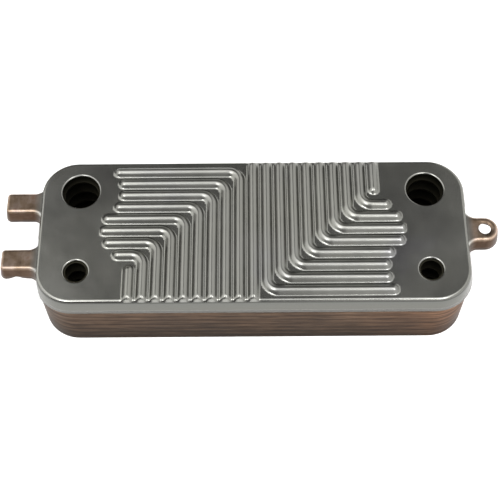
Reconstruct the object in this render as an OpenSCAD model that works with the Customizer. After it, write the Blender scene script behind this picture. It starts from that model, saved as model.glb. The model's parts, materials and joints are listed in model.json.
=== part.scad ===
// Brazed plate heat exchanger for a combination boiler, lying on its back.
// Pressed sheets with flared skirts nest in one stack; copper brazes them together.
// The origin is the centre of the port rectangle on the front sealing face, +Z out of the ports.

/* [Front cover] */
// Length of the front cover over its bend
cover_l = 189.2; // [180:0.2:200]
// Width of the front cover over its bend
cover_w = 70.4; // [68:0.2:80]
// Corner radius of the front cover in plan
corner_r = 16; // [12:0.5:20]
// Height of the cover's skirt
cover_skirt = 8; // [7:0.1:9]
// Outward lean of the cover's skirt, in degrees
cover_flare = 12; // [9:0.5:14]
// Outer radius of the bend between the face and the skirt
bend_r = 1.6; // [1:0.1:2]
// Height of the cover's ridges above its face
cover_relief = 2; // [1.5:0.1:3]

/* [Stack] */
// Thickness of every stainless sheet
sheet = 0.5; // [0.3:0.05:0.5]
// Thickness of the copper between two sheets
copper = 0.1; // [0.05:0.01:0.1]
// Height of the skirts in the stack
skirt_h = 7.6; // [6:0.1:8]
// Outward lean of the skirts in the stack, in degrees
flare = 9; // [9:0.5:10]
// Distance from one channel plate to the next
plate_pitch = 4; // [4:0.1:4.4]
// Number of channel plates, without the mounting plate and the blind back plate
channel_plates = 6; // [6:1:6]

/* [Ports] */
// Distance between port centres along the length
port_dx = 154; // [150:1:160]
// Distance between port centres across the width
port_dy = 40; // [36:1:42]
// Bore of the two heating ports
big_port_d = 16.5; // [14:0.5:18]
// Bore of the two water ports
small_port_d = 10.5; // [9:0.5:12]
// Depth of the drawn collar in each cover port
collar_h = 1.1; // [0.7:0.1:1.1]
// How far each port stands back inside the channel plates
port_step = 0.6; // [0.3:0.1:1]
// Width of the raised sealing ring around a closed port
pad_ring = 3.2; // [2:0.1:4]

/* [Ridges] */
// Distance between neighbouring ridges
ridge_pitch = 6; // [6:0.1:6.4]
// Width of a ridge
ridge_w = 3.2; // [2.4:0.1:3.4]
// Centreline radius where a ridge turns its corner
ridge_turn = 5; // [4:0.5:6]
// Where the turns' diagonal crosses the middle of the length: ridge k turns k pitches nearer than this
turn_row = 35.7; // [35:0.1:36]
// Radius around each port that ridges keep clear of
port_clear = 18.2; // [17:0.1:19]
// Furthest that a ridge reaches towards the end, between the ports
ridge_reach = 67; // [60:0.5:68]
// Gap between a ridge's end and the long edge of the cover
rim_gap = 2; // [1.8:0.1:4]

/* [Mounting lugs] */
// Width of each of the two left tabs over their flanges
tab_w = 10; // [9:0.1:13]
// Distance between the two tabs' centres
tab_gap = 28.4; // [24:0.2:34]
// How far the pair of tabs is off the middle of the width
tab_shift = 0.7; // [0:0.1:1]
// Distance from the origin to the tabs' ends
tab_end = 110; // [106:0.5:114]
// Width of the right lug over its flanges
lug_w = 11.8; // [11:0.1:13]
// Distance from the origin to the lug's end
lug_end = 108; // [105:0.1:112]
// Distance from the origin to the lug's screw hole
lug_hole_x = 102; // [100:0.1:104]
// Diameter of the lug's screw hole
lug_hole_d = 5.4; // [4.2:0.1:6.4]
// Corner radius of the tabs in plan
tab_corner_r = 2.2; // [2.1:0.1:4]
// Radius that rounds the lug's end in plan
lug_corner_r = 5.4; // [3:0.1:5.4]

/* [Hidden] */
$fn = 48;

STEEL = "#8c8c86";
COPPERED_STEEL = "#91765f";
STACK_STEEL = "#6e5546";
COPPER = "#b5714a";

nest = sheet + copper;              // one sheet and its copper, measured square to the surface
stack_l = cover_l - 2 * nest;       // the stack's sheets lie just inside the cover's skirt
stack_w = cover_w - 2 * nest;
stack_r = corner_r - nest;
stack_relief = plate_pitch - sheet; // channel ridges just reach the sheet above
rim_y = cover_w / 2 - rim_gap;      // where ridges end at the long edges
last = channel_plates + 1;          // the back plate's place in the stack
half_turn = 35;                     // a crossing ridge turns this far from its own height
big_r = big_port_d / 2;
small_r = small_port_d / 2;
opening_reach = 2;                  // how far the cover is cut back over the tabs and the lug
opening_slack = 3.6;                // how much wider than its tab or lug each opening is
over = 1;                           // how far cutting shapes run past a face
bend_steps = 4;
fine = 0.001;                       // every bent edge is drawn to the nearest micrometre
coarse = 0.1;                       // and every ridge's end to the nearest 0.1 mm
turns = 8;                          // ridges on each side of the middle that turn a corner

// Height of the face of sheet i of the stack; sheet 0 is the mounting plate.
function level(i) = -nest - plate_pitch * i;

// Value v to the nearest whole step, so that neighbouring shapes meet in one line.
function in_steps(v, step) = round(v / step) * step;

// Half outline of a bent edge whose outer skin passes r from the axis, moved inwards by inset.
function bent_edge(r, inset, depth, lean) = let (
    s = bend_r - inset,
    turn = [for (i = [0:bend_steps]) let (a = 90 - (90 - lean) * i / bend_steps)
            [r - bend_r + in_steps(s * cos(a), fine), -bend_r + in_steps(s * sin(a), fine)]],
    foot = turn[bend_steps])
    concat(turn, [[foot[0] + in_steps((foot[1] + depth) * tan(lean), fine), -depth]]);

// Left and right halves of the same edge, as one closed section.
function full_section(r, inset, depth, lean) = let (e = bent_edge(r, inset, depth, lean), n = len(e))
    concat(e, [for (i = [n - 1:-1:0]) [-e[i][0], e[i][1]]]);

// Solid block with bent, flared edges on all sides and rounded corners in plan.
module flared_block(l, w, r, inset, depth, lean = flare) {
    rotate([90, 0, 0])
        linear_extrude(w - 2 * r, center = true) polygon(full_section(l / 2, inset, depth, lean));
    rotate([90, 0, 90])
        linear_extrude(l - 2 * r, center = true) polygon(full_section(w / 2, inset, depth, lean));
    for (x = [-1, 1], y = [-1, 1])
        translate([x * (l / 2 - r), y * (w / 2 - r), 0])
            rotate_extrude() polygon(concat([[0, -depth], [0, -inset]], bent_edge(r, inset, depth, lean)));
}

module quarter_ring(r, w) {
    intersection() {
        difference() {
            circle(r + w / 2);
            circle(r - w / 2);
        }
        square(r + w);
    }
}

// Straight ridge along Y between two heights, with round ends.
module straight_ridge(x, y0, y1, w) {
    translate([x - w / 2, y0 + w / 2]) square([w, y1 - y0 - w]);
    for (y = [y0 + w / 2, y1 - w / 2])
        translate([x, y]) circle(w / 2);
}

// Where a ridge at height y has to stop to stay clear of the ports on the left.
function reach_x(y) = let (d = min(abs(y - port_dy / 2), abs(y + port_dy / 2)))
    d < port_clear ? max(-ridge_reach, in_steps(-port_dx / 2 + sqrt(pow(port_clear, 2) - d * d), coarse))
    : -ridge_reach;

// Ridge k pitches left of the middle: up from the near edge, then left towards the ports.
module turned_ridge(k, w, trim) {
    x = -k * ridge_pitch;
    y = turn_row - k * ridge_pitch;
    tip = reach_x(y) + trim + w / 2;
    translate([tip, y - w / 2]) square([x - ridge_turn - tip, w]);
    translate([tip, y]) circle(w / 2);
    translate([x - ridge_turn, y - ridge_turn]) quarter_ring(ridge_turn, w);
    foot = -rim_y + trim + w / 2;
    translate([x - w / 2, foot]) square([w, y - ridge_turn - foot]);
    translate([x, foot]) circle(w / 2);
}

// Plan of the ridges on the cover and on every second channel plate.
module turned_pattern(w, trim) {
    straight_ridge(0, -rim_y + trim, rim_y - trim, w);
    for (half = [0, 180]) rotate(half) {
        for (k = [1:turns]) turned_ridge(k, w, trim);
        outer = (turns + 1) * ridge_pitch;
        straight_ridge(-outer, -rim_y + trim, turn_row - outer - trim, w);
    }
}

// Ridge that runs along the length at height y and turns to an opposite long edge at each end.
module crossing_ridge(y, w, trim) {
    square_l = 2 * (half_turn - ridge_turn);
    translate([y - square_l / 2, y - w / 2]) square([square_l, w]);
    for (side = [0, 180]) translate([y, y]) rotate(side) {
        translate([-half_turn + ridge_turn, ridge_turn]) rotate(180) quarter_ring(ridge_turn, w);
        run = rim_y - trim - w / 2 - (side == 0 ? y : -y) - ridge_turn;
        translate([-half_turn - w / 2, ridge_turn]) square([w, run]);
        translate([-half_turn, ridge_turn + run]) circle(w / 2);
    }
}

// Plan of the ridges that cross the turned ones at right angles.
module crossing_pattern(w, trim) {
    for (j = [-3:3]) crossing_ridge(j * ridge_pitch, w, trim);
}

// The same shape at both ports of one circuit: the heating ports are the far row, the water ports the near one.
module at_big_ports() {
    for (x = [-1, 1]) translate([x * port_dx / 2, port_dy / 2]) children();
}

module at_small_ports() {
    for (x = [-1, 1]) translate([x * port_dx / 2, -port_dy / 2]) children();
}

module port_pads(closes_small, shrink) {
    if (closes_small) at_small_ports() circle(small_r + pad_ring - shrink);
    else at_big_ports() circle(big_r + pad_ring - shrink);
}

module port_cuts(step) {
    translate([0, 0, -skirt_h]) {
        at_big_ports() cylinder(h = 2 * skirt_h, r = big_r - step);
        at_small_ports() cylinder(h = 2 * skirt_h, r = small_r - step);
    }
}

// Channel plate i of the stack: even ones carry the turned ridges, odd ones the crossing ridges.
module channel_plate(i, ported) {
    odd = i % 2 == 1;
    translate([0, 0, level(i)]) difference() {
        union() {
            flared_block(stack_l, stack_w, stack_r, 0, skirt_h);
            translate([0, 0, -sheet]) linear_extrude(stack_relief + sheet) {
                if (odd) crossing_pattern(ridge_w, 0);
                else turned_pattern(ridge_w, 0);
                port_pads(odd, 0);
            }
        }
        flared_block(stack_l, stack_w, stack_r, sheet, skirt_h + over);
        translate([0, 0, -sheet - over]) linear_extrude(stack_relief + over) {
            if (odd) crossing_pattern(ridge_w - 2 * sheet, sheet);
            else turned_pattern(ridge_w - 2 * sheet, sheet);
            port_pads(odd, sheet);
        }
        if (ported) port_cuts(port_step);
    }
}

module front_plate() {
    color(STEEL) difference() {
        union() {
            difference() {
                union() {
                    flared_block(cover_l, cover_w, corner_r, 0, cover_skirt, cover_flare);
                    translate([0, 0, -sheet]) linear_extrude(cover_relief + sheet)
                        turned_pattern(ridge_w, 0);
                }
                flared_block(cover_l, cover_w, corner_r, sheet, cover_skirt + over, cover_flare);
                translate([0, 0, -sheet - over]) linear_extrude(cover_relief + over)
                    turned_pattern(ridge_w - 2 * sheet, sheet);
            }
            translate([0, 0, -collar_h]) {
                at_big_ports() cylinder(h = collar_h, r = big_r + sheet);
                at_small_ports() cylinder(h = collar_h, r = small_r + sheet);
            }
        }
        port_cuts(0);
        lug_openings();
    }
}

// The tabs' and the lug's outer form, or with an inset the hollow under it.
module lug_blocks(inset, depth) {
    root = stack_l / 4;
    tab_l = tab_end - root;
    lug_l = lug_end - root;
    for (y = [-1, 1]) translate([-root - tab_l / 2, tab_shift + y * tab_gap / 2, 0])
        flared_block(tab_l, tab_w, tab_corner_r, inset, depth);
    translate([root + lug_l / 2, 0, 0])
        flared_block(lug_l, lug_w, lug_corner_r, inset, depth);
}

// The cover's skirt is left out where the tabs and the lug come through it.
module lug_openings() {
    for (y = [-1, 1]) translate([-cover_l / 2, tab_shift + y * tab_gap / 2, 0])
        lug_opening(tab_w);
    translate([cover_l / 2, 0, 0]) lug_opening(lug_w);
}

module lug_opening(w) {
    depth = cover_skirt + over;
    translate([0, 0, over - depth / 2])
        cube([2 * opening_reach, w + opening_slack, depth + over], center = true);
}

module mounting_plate() {
    inner_w = ridge_w - 2 * nest;
    color(COPPERED_STEEL) translate([0, 0, level(0)]) difference() {
        union() {
            flared_block(stack_l, stack_w, stack_r, 0, skirt_h);
            lug_blocks(0, skirt_h);
            translate([0, 0, -sheet]) linear_extrude(cover_relief + sheet)
                turned_pattern(inner_w, nest);
        }
        flared_block(stack_l, stack_w, stack_r, sheet, skirt_h + over);
        lug_blocks(sheet, skirt_h + over);
        translate([0, 0, -sheet - over]) linear_extrude(cover_relief + over)
            turned_pattern(inner_w - 2 * sheet, nest + sheet);
        port_cuts(-nest);
        translate([lug_hole_x, 0, -skirt_h / 2]) cylinder(h = skirt_h, r = lug_hole_d / 2);
    }
}

module back_plate() {
    color(STACK_STEEL) channel_plate(last, false);
}

// Copper left between sheet i and the sheet above it: a band in the skirts' overlap.
module copper_band(l, w, r, top, foot) {
    difference() {
        flared_block(l, w, r, -copper, foot);
        flared_block(l, w, r, 0, foot + over);
        translate([0, 0, -top]) linear_extrude(top + over) square([2 * l, 2 * w], center = true);
    }
}

// Copper joint i lies on top of sheet i, with a bead round each closed port.
module copper_joint(i) {
    bead = 0.5;
    color(COPPER) translate([0, 0, level(i)]) {
        copper_band(stack_l, stack_w, stack_r, bend_r, skirt_h - plate_pitch);
        translate([0, 0, stack_relief - bead]) {
            if (i % 2 == 1) at_small_ports() port_bead(small_r + pad_ring, bead);
            else at_big_ports() port_bead(big_r + pad_ring, bead);
        }
    }
}

module port_bead(r, size) {
    rotate_extrude() polygon([[r, 0], [r + size, size], [r, size]]);
}

// Copper joint 0 is the thin layer between the cover and the mounting plate.
module copper_joint_0() {
    color(COPPER) translate([0, 0, level(0)]) {
        linear_extrude(copper) difference() {
            square([2 * ridge_reach, cover_w - 2 * bend_r], center = true);
            turned_pattern(ridge_w - 2 * sheet, sheet);
        }
    }
}

front_plate();
mounting_plate();
color(STACK_STEEL) channel_plate(1, true);  // channel_plate_1
color(STACK_STEEL) channel_plate(2, true);  // channel_plate_2
color(STACK_STEEL) channel_plate(3, true);  // channel_plate_3
color(STACK_STEEL) channel_plate(4, true);  // channel_plate_4
color(STACK_STEEL) channel_plate(5, true);  // channel_plate_5
color(STACK_STEEL) channel_plate(6, true);  // channel_plate_6
back_plate();
copper_joint_0();
copper_joint(1);  // copper_joint_1
copper_joint(2);  // copper_joint_2
copper_joint(3);  // copper_joint_3
copper_joint(4);  // copper_joint_4
copper_joint(5);  // copper_joint_5
copper_joint(6);  // copper_joint_6
copper_joint(7);  // copper_joint_7
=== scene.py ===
"""Looks of a brazed plate heat exchanger: pressed cover, mounting sheet, nested skirts and copper."""

import json
import math

import bmesh
import bpy
import numpy as np
from mathutils import Matrix, Vector, noise
from mathutils.geometry import delaunay_2d_cdt


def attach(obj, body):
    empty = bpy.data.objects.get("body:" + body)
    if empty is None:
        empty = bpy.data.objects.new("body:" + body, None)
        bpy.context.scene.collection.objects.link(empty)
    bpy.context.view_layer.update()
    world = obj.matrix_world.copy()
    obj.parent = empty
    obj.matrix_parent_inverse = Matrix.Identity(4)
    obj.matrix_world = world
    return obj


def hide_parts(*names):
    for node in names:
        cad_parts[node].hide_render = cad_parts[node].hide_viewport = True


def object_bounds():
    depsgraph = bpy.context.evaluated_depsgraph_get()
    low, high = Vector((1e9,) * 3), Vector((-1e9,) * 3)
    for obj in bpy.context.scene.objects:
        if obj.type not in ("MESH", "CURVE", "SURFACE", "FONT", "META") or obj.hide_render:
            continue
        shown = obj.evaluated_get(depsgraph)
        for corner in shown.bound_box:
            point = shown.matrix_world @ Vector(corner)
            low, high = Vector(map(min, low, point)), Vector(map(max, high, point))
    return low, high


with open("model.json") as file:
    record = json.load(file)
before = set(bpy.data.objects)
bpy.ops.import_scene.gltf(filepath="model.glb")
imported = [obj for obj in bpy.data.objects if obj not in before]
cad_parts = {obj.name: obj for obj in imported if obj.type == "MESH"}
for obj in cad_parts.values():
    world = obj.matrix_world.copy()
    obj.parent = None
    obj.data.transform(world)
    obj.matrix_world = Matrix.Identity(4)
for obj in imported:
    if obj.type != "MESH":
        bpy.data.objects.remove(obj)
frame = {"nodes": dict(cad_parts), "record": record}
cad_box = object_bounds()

MM = 0.001

# Sizes in millimetres, most of them as the CAD has them.
COVER_L, COVER_W, COVER_R = 189.2, 70.4, 16.0
COVER_SKIRT, COVER_LEAN, COVER_RELIEF = 8.0, 12.0, 2.0
SHEET, NEST, BEND = 0.5, 0.6, 1.6
STACK_L, STACK_W, STACK_R = COVER_L - 2 * NEST, COVER_W - 2 * NEST, COVER_R - NEST
SKIRT, LEAN, PITCH = 7.6, 9.0, 4.0
PORT_X, PORT_Y, BIG_R, SMALL_R = 77.0, 20.0, 8.25, 5.25
PORTS = [(sx * PORT_X, sy * PORT_Y, BIG_R if sy > 0 else SMALL_R) for sx in (-1, 1) for sy in (1, -1)]
LIP, COLLAR = 0.8, 1.1
CUT_DEPTH = SHEET + 0.05   # depth of the cover's skirt where it is cut back
CUT_REACH, SKIRT_RISE = 0.6, 0.7   # how far in an opening reaches, and how fast the skirt grows beside it
WELD = 0.002   # points nearer than this become one
RIDGE_PITCH, RIDGE_TURN, TURN_ROW, TURNS = 6.0, 5.0, 35.7, 8
RIDGE_FOOT, PORT_CLEAR, RIDGE_REACH, RIDGE_W = 38.0, 18.2, 67.0, 3.2
RUNOUT_FROM, RUNOUT_TO, RUNOUT_EDGE, RUNOUT_REACH = 32.6, 33.6, 0.75, 1.4
SECTION = ((0, 0), (0.35, 22), (1.2, 32), (1.5, 48), (2.2, 50), (2.6, 30), (2.95, 0))   # distance out, slope
COLUMN_STEPS = (0, 0.35, 0.9, 1.35, 1.8, 2.4, 3.0)   # grid lines to each side of a ridge
FINE_ROW, COARSE_ROW = 0.4, 1.0   # grid rows on the visible face and on hidden ones
FIELD_HALF, FIELD_FADE = 67.8, 0.7   # half length of the pressed field, and how soon it starts to fade there
TABS = (14.9, -13.5)
TAB_HALF, TAB_END, TAB_ROUND, TAB_FILLET = 5.0, 110.0, 1.7, 4.4
LUG_HALF, LUG_END, LUG_ROUND, LUG_FILLET = 5.9, 108.0, 5.85, 5.0
LUG_HOLE = (102.0, 0.0, 2.7)


# ---------------------------------------------------------------- outlines

def rounded_outline(corners, step=1.6, arc_step=math.radians(7)):
    """Points and outward normals of a counter-clockwise outline; a corner is (x, y, radius)."""
    points, normals = [], []
    count = len(corners)
    xy = [np.array(c[:2], float) for c in corners]

    def setback(i):
        a, b, c = xy[i - 1], xy[i], xy[(i + 1) % count]
        u, v = (b - a) / np.linalg.norm(b - a), (c - b) / np.linalg.norm(c - b)
        turn = math.atan2(u[0] * v[1] - u[1] * v[0], float(u @ v))
        return u, v, turn, corners[i][2] * math.tan(abs(turn) / 2)

    for i in range(count):
        u, v, turn, back = setback(i)
        radius = corners[i][2]
        side = 1 if turn > 0 else -1
        if radius > 0 and abs(turn) > 1e-6:
            centre = xy[i] - u * back + np.array([-u[1], u[0]]) * radius * side
            first = math.atan2(-u[0], u[1])
            steps = max(2, math.ceil(abs(turn) / arc_step))
            for s in range(steps + 1):
                angle = first + turn * s / steps
                normal = np.array([math.cos(angle), math.sin(angle)])
                points.append(centre + normal * radius * side)
                normals.append(normal)
        else:
            points.append(xy[i])
            normals.append(np.array([u[1], -u[0]]))
        start = xy[i] + v * back
        _, _, _, back_next = setback((i + 1) % count)
        length = float(np.linalg.norm(xy[(i + 1) % count] - start)) - back_next
        pieces = max(1, math.ceil(length / step))
        for s in range(1, pieces):
            points.append(start + v * length * s / pieces)
            normals.append(np.array([v[1], -v[0]]))
    return np.array(points), np.array(normals)


def columns():
    """Where the field's grid lines cross the length."""
    ridges = range(-TURNS - 4, TURNS + 5)
    xs = {round(k * RIDGE_PITCH + side * d, 3) for k in ridges for d in COLUMN_STEPS for side in (-1, 1)}
    return np.array(sorted({x for x in xs if abs(x) < FIELD_HALF} | {-FIELD_HALF, FIELD_HALF}))


def plate_corners(length, width, radius, left, right):
    """Corners of a rounded plate, with points on the long sides where the field's grid meets them.
    The left end's corners are given in full, from the far side to the near one."""
    l, w = length / 2, width / 2
    near = [(x, -w, 0) for x in columns()]
    far = [(x, w, 0) for x in columns()[::-1]]
    return near + [(l, -w, radius)] + right + [(l, w, radius)] + far + left


def tab_root(edge):
    """The plate's corner, and the root of a tab's outer edge, whose fillet starts on the corner's curve."""
    side = math.copysign(1, edge)
    cx, cy = STACK_R - STACK_L / 2, STACK_W / 2 - STACK_R
    uy = (abs(edge) + TAB_FILLET - cy) / (STACK_R + TAB_FILLET)
    ux = -math.sqrt(1 - uy * uy)
    corner = (cx + STACK_R * (1 - uy) / ux, side * STACK_W / 2, STACK_R)
    return corner, (cx + (STACK_R - (abs(edge) - cy) * uy) / ux, edge, TAB_FILLET)


def tab_tip(y):
    return [(-TAB_END, y + TAB_HALF, TAB_ROUND), (-TAB_END, y - TAB_HALF, TAB_ROUND)]


def tab_corners():
    """The left end of the mounting plate with its two tabs, far one first."""
    far, near = TABS
    far_corner, far_root = tab_root(far + TAB_HALF)
    near_corner, near_root = tab_root(near - TAB_HALF)
    between = [(-STACK_L / 2, y, TAB_FILLET) for y in (far - TAB_HALF, near + TAB_HALF)]
    return [far_corner, far_root] + tab_tip(far) + between + tab_tip(near) + [near_root, near_corner]


def lug_corners():
    """The lug's corners up the right end, near one first."""
    root = STACK_L / 2
    return [(root, -LUG_HALF, LUG_FILLET), (LUG_END, -LUG_HALF, LUG_ROUND),
            (LUG_END, LUG_HALF, LUG_ROUND), (root, LUG_HALF, LUG_FILLET)]


def opening_corners(side, gaps):
    """Points beside each gap in the cover's skirt, for clean cut edges on the straight part of an end."""
    x = side * COVER_L / 2
    ys = sorted({y + s * (half + d) for y, half in gaps for s in (-1, 1) for d in (0, 0.3)})
    straight = [(x, y, 0) for y in ys if abs(y) < COVER_W / 2 - COVER_R]
    return straight if side > 0 else straight[::-1]


# ---------------------------------------------------------------- pressed ridges

def reach_x(y):
    """How far left a ridge at y may reach: to the field's end, or to the clear ring around a port."""
    d = min(abs(y - PORT_Y), abs(y + PORT_Y))
    if d >= PORT_CLEAR:
        return -RIDGE_REACH
    return max(-RIDGE_REACH, -PORT_X + math.sqrt(PORT_CLEAR ** 2 - d * d))


def ridge_lines():
    """Straight runs (x0, y0, x1, y1) and quarter turns (x, y) of the ridges on the left, centre lines."""
    runs, turns = [(0, -RIDGE_FOOT, 0, RIDGE_FOOT)], []
    for k in range(1, TURNS + 1):
        x, y = -k * RIDGE_PITCH, TURN_ROW - k * RIDGE_PITCH
        runs.append((reach_x(y) + RIDGE_W / 2, y, x - RIDGE_TURN, y))
        runs.append((x, y - RIDGE_TURN, x, -RIDGE_FOOT))
        turns.append((x - RIDGE_TURN, y - RIDGE_TURN))
    outer = (TURNS + 1) * RIDGE_PITCH
    runs.append((-outer, -RIDGE_FOOT, -outer, TURN_ROW - outer - RIDGE_W / 2))
    return runs, turns


def ridge_distance(x, y):
    """Distance from each point to the nearest ridge's centre line."""
    runs, turns = ridge_lines()
    best = np.full(x.shape, 99.0)
    for sign in (1, -1):
        px, py = x * sign, y * sign
        for x0, y0, x1, y1 in runs:
            dx, dy = x1 - x0, y1 - y0
            t = np.clip(((px - x0) * dx + (py - y0) * dy) / (dx * dx + dy * dy), 0, 1)
            best = np.minimum(best, np.hypot(px - x0 - t * dx, py - y0 - t * dy))
        for cx, cy in turns:
            ring = np.abs(np.hypot(px - cx, py - cy) - RIDGE_TURN)
            best = np.minimum(best, np.where((px >= cx) & (py >= cy), ring, 99.0))
    return best


def smooth(t):
    """An even rise from 0 to 1."""
    t = np.clip(t, 0, 1)
    return t * t * (3 - 2 * t)


def section(d):
    """Share of a ridge's height at a distance from its centre line, from the slopes down its side."""
    at = np.linspace(0, SECTION[-1][0], 60)
    slope = np.tan(np.radians(np.interp(at, *zip(*SECTION))))
    fall = np.concatenate([[0], np.cumsum((slope[1:] + slope[:-1]) / 2 * np.diff(at))])
    return np.interp(d, at, 1 - fall / fall[-1])


def relief(x, y, height):
    """Height of the pressed field, lower where its ridges run out over the long edges, none at its ends."""
    t = np.clip((np.abs(y) - RUNOUT_FROM) / (RUNOUT_TO - RUNOUT_FROM), 0, 1)
    ends = smooth((FIELD_HALF - np.abs(x)) / FIELD_FADE)
    return height * section(ridge_distance(x, y)) * (1 - (1 - RUNOUT_EDGE) * t * t) * ends


# ---------------------------------------------------------------- formed sheets

def even_odd(points, loops):
    """Which points lie inside the loops taken together."""
    inside = np.zeros(len(points), bool)
    for loop in loops:
        a, b = loop, np.roll(loop, -1, axis=0)
        for (x0, y0), (x1, y1) in zip(a, b):
            if y0 == y1:
                continue
            crosses = (points[:, 1] < y0) != (points[:, 1] < y1)
            at = x0 + (points[:, 1] - y0) * (x1 - x0) / (y1 - y0)
            inside ^= crosses & (points[:, 0] < at)
    return inside


def fill(loops):
    """Triangles between an outer loop and the holes in it."""
    verts, edges = [], []
    for loop in loops:
        start = len(verts)
        verts += [Vector(p) for p in loop]
        edges += [(start + i, start + (i + 1) % len(loop)) for i in range(len(loop))]
    coords, _, faces, *_ = delaunay_2d_cdt(verts, edges, [], 0, 1e-7)
    xy = np.array([(c.x, c.y) for c in coords])
    faces = np.array(faces)
    keep = even_odd(xy[faces].mean(axis=1), loops)
    return xy, faces[keep]


def circle(x, y, r, count):
    """Points around a circle, counter-clockwise."""
    angles = np.arange(count) * 2 * math.pi / count
    return np.stack([x + r * np.cos(angles), y + r * np.sin(angles)], axis=1)


class Shell:
    """Gathers the points, in millimetres, and faces of one piece."""

    def __init__(self):
        self.points, self.faces, self.count = [], [], 0

    def add(self, points):
        start = self.count
        self.points.append(np.asarray(points, float))
        self.count += len(points)
        return start

    def surface(self, xy, z, faces, flip):
        start = self.add(np.column_stack([xy, z]))
        self.faces += [tuple(start + i for i in (f[::-1] if flip else f)) for f in faces]

    def rings(self, rings):
        """Closed strips between one ring of points and the next; down the outside, they face out."""
        starts = [self.add(r) for r in rings]
        n = len(rings[0])
        for a, b in zip(starts, starts[1:]):
            for i in range(n):
                j = (i + 1) % n
                self.faces.append((a + i, b + i, b + j, a + j))

    def make(self, name, material, face, sharp=35.0):
        """One mesh in the scene; the sheet's flat faces are at height face and one sheet below it."""
        mesh = bpy.data.meshes.new(name)
        mesh.from_pydata((np.concatenate(self.points) * MM).tolist(), [], self.faces)
        piece = bpy.data.objects.new(name, mesh)
        bpy.context.scene.collection.objects.link(piece)
        weld(mesh)
        mesh.polygons.foreach_set("use_smooth", [True] * len(mesh.polygons))
        mesh.set_sharp_from_angle(angle=math.radians(sharp))
        mesh.normals_split_custom_set_from_vertices(flat_normals(mesh, face))
        mesh.materials.append(material)
        return piece


def weld(mesh):
    """Joins the points that the parts of a piece share."""
    bm = bmesh.new()
    bm.from_mesh(mesh)
    bmesh.ops.remove_doubles(bm, verts=bm.verts, dist=WELD * MM)
    bm.to_mesh(mesh)
    bm.free()


def flat_normals(mesh, face):
    """Straight up or down for the points of a flat face, so that it shades flat up to its bends.
    Zero keeps a point's own normal, as around the lug's hole, whose edge is square."""
    normals = np.zeros((len(mesh.vertices), 3))
    points = np.array([v.co for v in mesh.vertices]) / MM
    x, y, r = LUG_HOLE
    square_edge = np.hypot(points[:, 0] - x, points[:, 1] - y) < r + 0.1
    for height, up in ((face, 1), (face - SHEET, -1)):
        on_face = np.abs(points[:, 2] - height) < 1e-3
        normals[on_face & ~square_edge, 2] = up
    return normals.tolist()


def skin(inset, lean):
    """Offset from the bend's outline at a depth, for the skin that lies inset below the outer one."""
    s, tilt = BEND - inset, math.radians(lean)
    end_depth, end_offset = BEND - s * math.sin(tilt), -BEND + s * math.cos(tilt)

    def offset(depth):
        bent = -BEND + np.sqrt(np.maximum(s * s - (BEND - depth) ** 2, 0))
        return np.where(depth < end_depth, bent, end_offset + (depth - end_depth) * math.tan(tilt))
    return offset


def skirt_rings(points, normals, depths, inset, lean, z0, wave, lift):
    """Rings of one skin from the flat face down to each outline point's own depth.
    Where a ridge runs out over the bend, lift is its height there, and it dies away below the bend."""
    offset = skin(inset, lean)
    s = BEND - inset
    bend = [BEND - s * math.sin(math.radians(a)) for a in np.linspace(90, lean, 8)]
    wall = [bend[-1] + (np.max(depths) - bend[-1]) * t for t in (0.33, 0.66, 1)]
    rings = []
    for level in bend + wall:
        depth = np.minimum(level, depths)
        out = offset(depth) - wave * np.clip((depth - inset) / np.max(depths), 0, 1)
        fade = 1 - smooth((offset(depth) + BEND) / RUNOUT_REACH)
        rings.append(np.column_stack([points + normals * out[:, None], z0 - depth + lift * fade]))
    return rings


def waviness(points, scale, seed):
    """A smooth random value from -1 to 1 at each outline point."""
    return np.array([noise.noise(Vector((p[0] / scale, p[1] / scale, seed))) for p in points])


def plan_of(outline, holes, row, width):
    """The flat face in plan: a grid over the pressed field, and filled ends with their holes."""
    xs = columns()
    edge = width / 2 - BEND
    ys = TURN_ROW + row * np.arange(round(-2 * TURN_ROW / row), 1)
    ys = np.concatenate([[-edge], ys[np.abs(ys) < edge - row / 2], [edge]])
    gx, gy = np.meshgrid(xs, ys)
    cells = np.arange(gx.size).reshape(gx.shape)
    quads = np.stack([cells[:-1, :-1], cells[:-1, 1:], cells[1:, 1:], cells[1:, :-1]], axis=-1)
    parts = [(np.column_stack([gx.ravel(), gy.ravel()]), quads.reshape(-1, 4))]
    for side in (-1, 1):
        beyond = outline[:, 0] * side > FIELD_HALF + 1e-6
        start = next(i for i in range(len(beyond)) if beyond[i] and not beyond[i - 1])
        end_loop = [outline[(start + i) % len(outline)] for i in range(int(beyond.sum()))]
        rows = [np.array([side * FIELD_HALF, y]) for y in ys[::-side]]
        loops = [np.array(end_loop + rows)]
        loops += [circle(x, y, r, count) for x, y, r, count in holes if x * side > 0]
        parts.append(fill(loops))
    return parts


def formed_sheet(corners, width, z0, lean, depth_at, rows, height, holes, wave=0.0):
    """A closed sheet: pressed face, bent edge, flared skirt, and rolled or plain holes."""
    shell = Shell()
    points, normals = rounded_outline(corners)
    depths = depth_at(points)
    for row, z_face, below in zip(rows, (z0, z0 - SHEET), (False, True)):
        for xy, faces in plan_of(points - normals * BEND, [h[:4] for h in holes], row, width):
            shell.surface(xy, z_face + relief(xy[:, 0], xy[:, 1], height), faces, below)
    ripple = wave * (1 + waviness(points, 9.0, z0)) / 2
    face = points - normals * BEND
    on_field = np.abs(face[:, 0]) <= FIELD_HALF + 1e-6
    lift = np.where(on_field, relief(face[:, 0], face[:, 1], height), 0)
    outer = skirt_rings(points, normals, depths, 0, lean, z0, ripple, lift)
    inner = skirt_rings(points, normals, depths, SHEET, lean, z0, ripple, lift)
    shell.rings(outer + inner[::-1])
    for x, y, _, count, profile in holes:
        loops = [(circle(x, y, r, count)[::-1], np.full(count, z0 + z)) for r, z in profile]
        shell.rings([np.column_stack(loop) for loop in loops])
    return shell


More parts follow.
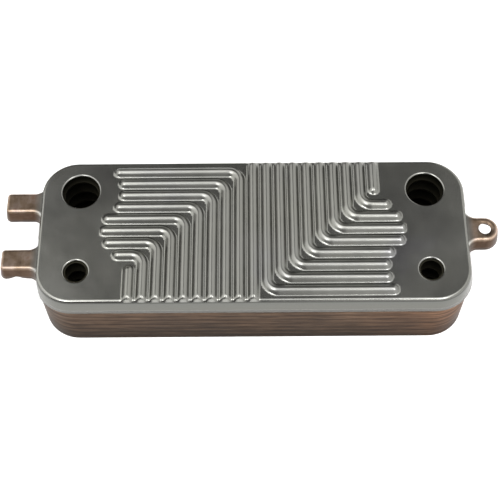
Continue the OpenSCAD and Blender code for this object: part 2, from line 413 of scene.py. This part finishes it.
def rolled_hole(x, y, r, count=72):
    """A port: the sheet rolls down into a short collar. The profile holds radii and heights."""
    turn = np.radians(np.linspace(90, 0, 7))
    down = [(r + LIP - LIP * math.cos(a), -LIP + LIP * math.sin(a)) for a in turn]
    inside = LIP - SHEET
    up = [(r + LIP - inside * math.cos(a), -LIP + inside * math.sin(a)) for a in turn[::-1]]
    return (x, y, r + LIP, count, down + [(r, -COLLAR), (r + SHEET, -COLLAR)] + up)


def plain_hole(x, y, r, count=48):
    """A hole punched square through the sheet."""
    return (x, y, r, count, [(r, 0), (r, -SHEET)])


def tab_gaps():
    """The openings for the tabs in the cover's skirt, as middles and half widths."""
    return [(y, TAB_HALF + TAB_FILLET) for y in TABS]


def lug_gap():
    """The opening for the lug, in the same form."""
    return [(0, LUG_HALF + LUG_FILLET)]


def cover_depth(points):
    """The cover's skirt, with an uneven foot, cut back over the tabs and the lug and growing beside them."""
    depth = COVER_SKIRT - 0.12 + 0.1 * waviness(points, 14.0, 2.0)
    for end, gaps in ((-COVER_L / 2, tab_gaps()), (COVER_L / 2, lug_gap())):
        same_end = points[:, 0] * end > 0
        for middle, half in gaps:
            aside = np.abs(points[:, 1] - middle) - half
            inward = np.abs(end) - CUT_REACH - np.abs(points[:, 0])
            cut = (np.abs(points[:, 0] - end) < CUT_REACH) & (aside <= 1e-6)
            past = np.maximum(aside, 0) + 2 * np.maximum(inward, 0)
            growing = np.minimum(depth, CUT_DEPTH + past * SKIRT_RISE)
            depth = np.where(cut, CUT_DEPTH, np.where(same_end, growing, depth))
    return depth


def mounting_depth(points):
    """Flange and skirt depth of the mounting plate, with the rough foot of its near tab."""
    depth = SKIRT - 0.25 + 0.2 * waviness(points, 6.0, 5.0)
    x, y = points[:, 0], points[:, 1]
    on_tab = (x < -STACK_L / 2 - 5) & (y < TABS[1])
    droop = 0.25 * np.exp(-((x + 108) / 1.6) ** 2) - 1.5 * np.exp(-((x + 103.5) / 2.2) ** 2)
    return np.where(on_tab, depth + droop, depth)


def make_cover(material):
    """The silver sheet with the ridges, the rolled ports and the deepest skirt."""
    far, near = ((-COVER_L / 2, side * COVER_W / 2, COVER_R) for side in (1, -1))
    left = [far] + opening_corners(-1, tab_gaps()) + [near]
    corners = plate_corners(COVER_L, COVER_W, COVER_R, left, opening_corners(1, lug_gap()))
    holes = [rolled_hole(*p) for p in PORTS]
    shell = formed_sheet(corners, COVER_W, 0.0, COVER_LEAN, cover_depth, (FINE_ROW, COARSE_ROW),
                         COVER_RELIEF, holes, wave=0.08)
    return shell.make("cover_sheet", material, 0.0)


def make_mounting_plate(material):
    """The coppered sheet under the cover, which runs out into the tabs and the lug."""
    corners = plate_corners(STACK_L, STACK_W, STACK_R, tab_corners(), lug_corners())
    holes = [plain_hole(x, y, r + NEST) for x, y, r in PORTS] + [plain_hole(*LUG_HOLE)]
    shell = formed_sheet(corners, STACK_W, -NEST, LEAN, mounting_depth, (COARSE_ROW, COARSE_ROW),
                         COVER_RELIEF - 0.3, holes, wave=0.06)
    return shell.make("mounting_sheet", material, -NEST)


# ---------------------------------------------------------------- materials

class Nodes:
    """A material's node tree, with short calls for what the finishes need. Its lengths are in metres."""

    def __init__(self, name):
        self.material = bpy.data.materials.new(name)
        self.material.use_nodes = True
        self.tree = self.material.node_tree
        self.shader = self.tree.nodes["Principled BSDF"]
        self.place = self.new("ShaderNodeTexCoord").outputs["Object"]

    def new(self, kind, **values):
        node = self.tree.nodes.new(kind)
        for key, value in values.items():
            setattr(node, key, value)
        return node

    def link(self, source, target):
        self.tree.links.new(source, target)

    def stretched(self, scale):
        node = self.new("ShaderNodeMapping")
        self.link(self.place, node.inputs["Vector"])
        node.inputs["Scale"].default_value = scale
        return node.outputs["Vector"]

    def noise(self, scale, stretch=(1, 1, 1), detail=4.0, rough=0.55):
        node = self.new("ShaderNodeTexNoise")
        self.link(self.stretched(stretch), node.inputs["Vector"])
        node.inputs["Scale"].default_value = scale
        node.inputs["Detail"].default_value = detail
        node.inputs["Roughness"].default_value = rough
        return node.outputs["Fac"]

    def ramp(self, source, *stops):
        node = self.new("ShaderNodeValToRGB")
        self.link(source, node.inputs["Fac"])
        ramp = node.color_ramp
        while len(ramp.elements) < len(stops):
            ramp.elements.new(0.5)
        for element, (position, colour) in zip(ramp.elements, stops):
            element.position = position
            value = colour if isinstance(colour, tuple) else (colour,) * 3
            element.color = (*value, 1)
        return node.outputs["Color"]

    def mix(self, factor, a, b, blend="MIX"):
        node = self.new("ShaderNodeMix", data_type="RGBA", blend_type=blend)
        for socket, value in ((node.inputs[0], factor), (node.inputs[6], a), (node.inputs[7], b)):
            if isinstance(value, bpy.types.NodeSocket):
                self.link(value, socket)
            elif isinstance(value, tuple):
                socket.default_value = (*value, 1)
            else:
                socket.default_value = value
        return node.outputs[2]

    def span(self, source, low, high, to_low, to_high):
        node = self.new("ShaderNodeMapRange")
        self.link(source, node.inputs["Value"])
        for name, value in (("From Min", low), ("From Max", high), ("To Min", to_low), ("To Max", to_high)):
            node.inputs[name].default_value = value
        return node.outputs["Result"]

    def split(self, source):
        node = self.new("ShaderNodeSeparateXYZ")
        self.link(source, node.inputs[0])
        return node.outputs

    def painted_port_shade(self, colour):
        """Colour, darkened within the ports' passages as painted shade."""
        x, y, _ = self.split(self.place)
        offsets = []
        for source, centre in ((x, PORT_X * MM), (y, PORT_Y * MM)):
            size = self.math("ABSOLUTE", source)
            offsets.append(self.math("POWER", self.math("SUBTRACT", size, centre), 2.0))
        reach = self.math("SQRT", self.math("ADD", *offsets))
        # painted shade: near black inside the ports' passages
        return self.mix(self.span(reach, 0.0115, 0.0130, 1.0, 0.0), colour, (0.045, 0.042, 0.03))

    def painted_foot_shadow_and_highlight(self, z):
        """Painted shadow lines under the foot of every skirt, a fainter dark line midway, and a painted
        highlight just above each foot.
        """
        wander = self.span(self.noise(25, (1, 1, 0.2), detail=2), 0.0, 1.0, -0.0001, 0.0001)
        first_foot = -(NEST + SKIRT) * MM
        below = self.math("ADD", self.math("SUBTRACT", first_foot, z), wander)
        place = self.math("FRACT", self.math("DIVIDE", below, PITCH * MM))
        # painted shadow right under each foot, rising to a painted highlight just above the next foot
        return self.ramp(place, (0.0, 0.35), (0.15, 0.5), (0.25, 1.05), (0.42, 1.05),
                         (0.5, 0.62), (0.6, 0.7), (0.7, 1.15), (0.97, 1.2))

    def math(self, operation, *values):
        node = self.new("ShaderNodeMath", operation=operation)
        for socket, value in zip(node.inputs, values):
            if isinstance(value, bpy.types.NodeSocket):
                self.link(value, socket)
            else:
                socket.default_value = value
        return node.outputs[0]

    def bump(self, height, strength, distance, below=None):
        node = self.new("ShaderNodeBump")
        self.link(height, node.inputs["Height"])
        node.inputs["Strength"].default_value = strength
        node.inputs["Distance"].default_value = distance
        if below is not None:
            self.link(below, node.inputs["Normal"])
        return node.outputs["Normal"]

    def finish(self, colour, roughness, normal, metallic=1.0):
        self.shader.inputs["Metallic"].default_value = metallic
        self.link(colour, self.shader.inputs["Base Color"])
        self.link(roughness, self.shader.inputs["Roughness"])
        self.link(normal, self.shader.inputs["Normal"])
        return self.material


def cover_steel():
    """Satin pressed steel with a slight heat tint, a skirt darkened as painted shade and a painted dark
    reflection line under its bend.
    """
    n = Nodes("cover_steel")
    cloud = n.noise(38, detail=5)
    fine = n.noise(900, (1, 0.25, 1), detail=3)
    tint = n.ramp(n.noise(22, detail=3), (0.35, (0.315, 0.315, 0.290)), (0.62, (0.295, 0.295, 0.280)),
                  (0.8, (0.295, 0.295, 0.310)))
    shade = n.ramp(cloud, (0.3, 0.86), (0.7, 1.0))
    colour = n.mix(1.0, tint, shade, "MULTIPLY")
    z = n.split(n.place)["Z"]
    # painted shade: the skirt darkened below the steel's own tone, with a painted dark reflection line just
    # under the bend
    skirt = n.ramp(n.span(z, -0.0085, -0.0003, 0.0, 1.0),
                   (0.0, (0.15, 0.148, 0.134)), (0.86, (0.14, 0.142, 0.132)),
                   (0.915, (0.07, 0.07, 0.065)), (0.94, (0.12, 0.12, 0.113)), (1.0, (0.30, 0.30, 0.285)))
    colour = n.mix(n.span(z, -0.0004, -0.0007, 0.0, 1.0), colour, skirt)
    rough = n.math("ADD", n.span(cloud, 0.3, 0.7, 0.20, 0.26), n.span(z, 0.0002, 0.0012, 0.0, 0.07))
    normal = n.bump(fine, 0.12, 0.00006, n.bump(n.noise(60, detail=2), 0.25, 0.0004))
    return n.finish(colour, rough, normal)


def coppered_steel():
    """Steel stained by the braze: brown and pink clouds, greyer by the body, with a painted highlight along
    the bends and darker flanges below them.
    """
    n = Nodes("coppered_steel")
    cloud = n.noise(140, (1, 1, 1), detail=6, rough=0.6)
    colour = n.ramp(cloud, (0.3, (0.115, 0.078, 0.052)), (0.48, (0.20, 0.145, 0.105)),
                    (0.6, (0.25, 0.19, 0.155)), (0.75, (0.22, 0.13, 0.09)))
    end = n.math("ABSOLUTE", n.split(n.place)["X"])
    colour = n.mix(n.span(end, 0.0945, 0.0975, 0.0, 1.0), (0.21, 0.205, 0.19), colour)
    streak = n.ramp(n.noise(500, (1, 0.2, 0.2), detail=3), (0.35, 0.8), (0.65, 1.0))
    # painted highlight brightening the bends by height; darker down the flanges below them
    bend_highlight_dark_flange = n.ramp(n.span(n.split(n.place)["Z"], -0.0026, -0.0006, 0.0, 1.0), (0.3, (0.42, 0.34, 0.29)),
                  (0.6, (1.3, 1.25, 1.2)), (0.85, (3.0, 3.15, 3.3)), (1.0, (1.0, 1.0, 1.0)))
    colour = n.mix(1.0, colour, bend_highlight_dark_flange, "MULTIPLY")
    rough = n.span(cloud, 0.3, 0.7, 0.34, 0.5)
    normal = n.bump(n.noise(700, detail=3), 0.25, 0.00008)
    return n.finish(n.painted_port_shade(n.mix(1.0, colour, streak, "MULTIPLY")), rough, normal)


def stack_steel():
    """Copper-brown skirts with fine streaks along them, darkened lower down as painted shade, redder at the
    right end.
    """
    n = Nodes("stack_steel")
    streak = n.noise(60, (1, 1, 14), detail=6, rough=0.65)
    patch = n.noise(45, detail=4)
    colour = n.ramp(streak, (0.3, (0.044, 0.027, 0.017)), (0.5, (0.092, 0.057, 0.037)),
                    (0.72, (0.17, 0.108, 0.07)))
    right = n.span(n.split(n.place)["X"], 0.045, 0.095, 0.0, 1.0)
    colour = n.mix(1.0, colour, n.mix(right, (1.0, 1.0, 1.0), (1.75, 1.45, 1.25)), "MULTIPLY")
    shade = n.ramp(patch, (0.3, 0.65), (0.7, 1.1))
    z = n.split(n.place)["Z"]
    # painted shade: the stack darker towards its foot by the floor
    low = n.span(z, -0.036, -0.012, 0.32, 0.95)
    dark = n.new("ShaderNodeCombineColor")
    for channel in dark.inputs:
        n.link(low, channel)
    colour = n.mix(1.0, n.mix(1.0, colour, shade, "MULTIPLY"), dark.outputs["Color"], "MULTIPLY")
    # painted shadow under each skirt's foot and painted highlight just above the next
    colour = n.mix(1.0, colour, n.painted_foot_shadow_and_highlight(z), "MULTIPLY")
    rough = n.span(patch, 0.3, 0.7, 0.36, 0.5)
    normal = n.bump(streak, 0.35, 0.00025, n.bump(n.noise(900, detail=2), 0.2, 0.00006))
    return n.finish(n.painted_port_shade(colour), rough, normal)


def copper():
    """Dull braze metal, run and frozen."""
    n = Nodes("copper")
    cloud = n.noise(300, detail=4)
    colour = n.ramp(cloud, (0.3, (0.32, 0.15, 0.08)), (0.65, (0.60, 0.32, 0.19)))
    return n.finish(colour, n.span(cloud, 0.3, 0.7, 0.3, 0.5), n.bump(n.noise(1500, detail=2), 0.4, 0.0001))


# ---------------------------------------------------------------- camera, light and floor

VIEW = dict(elevation=62.126, azimuth=-0.321, roll=-0.687, target=(-0.001412, -0.010256, 0.0),
            distance=0.4977, lens=82.23, sensor=36.0)


def make_camera():
    """The camera of VIEW: angles in degrees, lengths in metres, lens and sensor in millimetres."""
    el, az, roll = (math.radians(VIEW[k]) for k in ("elevation", "azimuth", "roll"))
    forward = Vector((math.cos(el) * math.sin(az), math.cos(el) * math.cos(az), -math.sin(el)))
    level = Vector((math.cos(az), -math.sin(az), 0))
    raised = level.cross(forward)
    right = math.cos(roll) * level + math.sin(roll) * raised
    up = -math.sin(roll) * level + math.cos(roll) * raised
    data = bpy.data.cameras.new("camera")
    data.lens, data.sensor_width, data.clip_start = VIEW["lens"], VIEW["sensor"], 0.01
    camera = bpy.data.objects.new("camera", data)
    bpy.context.scene.collection.objects.link(camera)
    place = Matrix((right, up, -forward)).transposed().to_4x4()
    place.translation = Vector(VIEW["target"]) - forward * VIEW["distance"]
    camera.matrix_world = place
    bpy.context.scene.camera = camera


def make_softbox(name, place, aim, size, power):
    """A rectangular lamp at a place, turned towards its aim."""
    data = bpy.data.lights.new(name, "AREA")
    data.shape = "RECTANGLE"
    data.size, data.size_y = size
    data.energy = power
    lamp = bpy.data.objects.new(name, data)
    bpy.context.scene.collection.objects.link(lamp)
    lamp.location = place
    lamp.rotation_euler = (Vector(aim) - Vector(place)).to_track_quat("-Z", "Y").to_euler()


# The pale wall on the right and the pale panel high on the left: the direction towards it, the cosines at
# which it starts and is full, and the light outside and inside it.
ROOM_WALLS = [((1.0, -0.15, 0.0), 0.15, 0.22, 0.16, 1.05), ((-0.68, 0.0, 0.73), 0.775, 0.805, 0.0, 1.35)]


def make_world():
    """A dim room with a pale wall and a pale panel."""
    world = bpy.data.worlds.new("room")
    world.use_nodes = True
    tree = world.node_tree
    place = tree.nodes.new("ShaderNodeTexCoord")
    total = tree.nodes.new("ShaderNodeMath")
    for socket, (axis, near, far, low, high) in zip(total.inputs, ROOM_WALLS):
        towards = tree.nodes.new("ShaderNodeVectorMath")
        towards.operation = "DOT_PRODUCT"
        towards.inputs[1].default_value = axis
        tree.links.new(place.outputs["Generated"], towards.inputs[0])
        wall = tree.nodes.new("ShaderNodeMapRange")
        wall.interpolation_type = "SMOOTHSTEP"
        tree.links.new(towards.outputs["Value"], wall.inputs["Value"])
        for name, value in (("From Min", near), ("From Max", far), ("To Min", low), ("To Max", high)):
            wall.inputs[name].default_value = value
        tree.links.new(wall.outputs["Result"], socket)
    background = tree.nodes["Background"]
    tree.links.new(total.outputs[0], background.inputs["Strength"])
    background.inputs["Color"].default_value = (1.0, 0.995, 0.97, 1)
    bpy.context.scene.world = world


def make_floor(z):
    """A plain pale floor, softly lit of itself so that it stays even."""
    mesh = bpy.data.meshes.new("floor")
    half = 1.5
    corners = [(sx * half, sy * half, z) for sx, sy in ((-1, -1), (1, -1), (1, 1), (-1, 1))]
    mesh.from_pydata(corners, [], [(0, 1, 2, 3)])
    floor = bpy.data.objects.new("floor", mesh)
    bpy.context.scene.collection.objects.link(floor)
    n = Nodes("pale_floor")
    shade = n.ramp(n.noise(3, detail=2), (0.3, 0.93), (0.7, 0.95))
    n.link(shade, n.shader.inputs["Base Color"])
    n.shader.inputs["Roughness"].default_value = 0.9
    n.shader.inputs["Emission Color"].default_value = (1, 1, 1, 1)
    n.shader.inputs["Emission Strength"].default_value = 0.38
    mesh.materials.append(n.material)


def finish_node(name, material):
    """A CAD node keeps its shape and takes a detailed finish."""
    mesh = frame["nodes"][name].data
    mesh.materials.clear()
    mesh.materials.append(material)


def place_piece(piece, slot, *nodes):
    """A piece stands for its CAD nodes and belongs to the one body."""
    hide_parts(*nodes)
    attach(piece, "root")


make_camera()
make_world()
make_softbox("overhead", (0.0, -0.13, 0.62), (0, -0.01, 0), (0.9, 0.42), 1.8)
for side in (-1, 1):
    make_softbox(f"front_{side}", (0.25 * side, -0.32, 0.52), (0, -0.01, 0), (0.17, 0.17), 0.9)
make_floor(cad_box[0][2])
bpy.context.scene.view_settings.view_transform = "Standard"

FINISH = {"cover_steel": cover_steel(), "coppered_steel": coppered_steel(),
          "stack_steel": stack_steel(), "copper": copper()}
place_piece(make_cover(FINISH["cover_steel"]), "cover_steel", "front_plate")
place_piece(make_mounting_plate(FINISH["coppered_steel"]), "coppered_steel", "mounting_plate")
for row in frame["record"]["subparts"]:
    if row["node"] not in ("front_plate", "mounting_plate"):
        finish_node(row["node"], FINISH[row["material_slot"]])
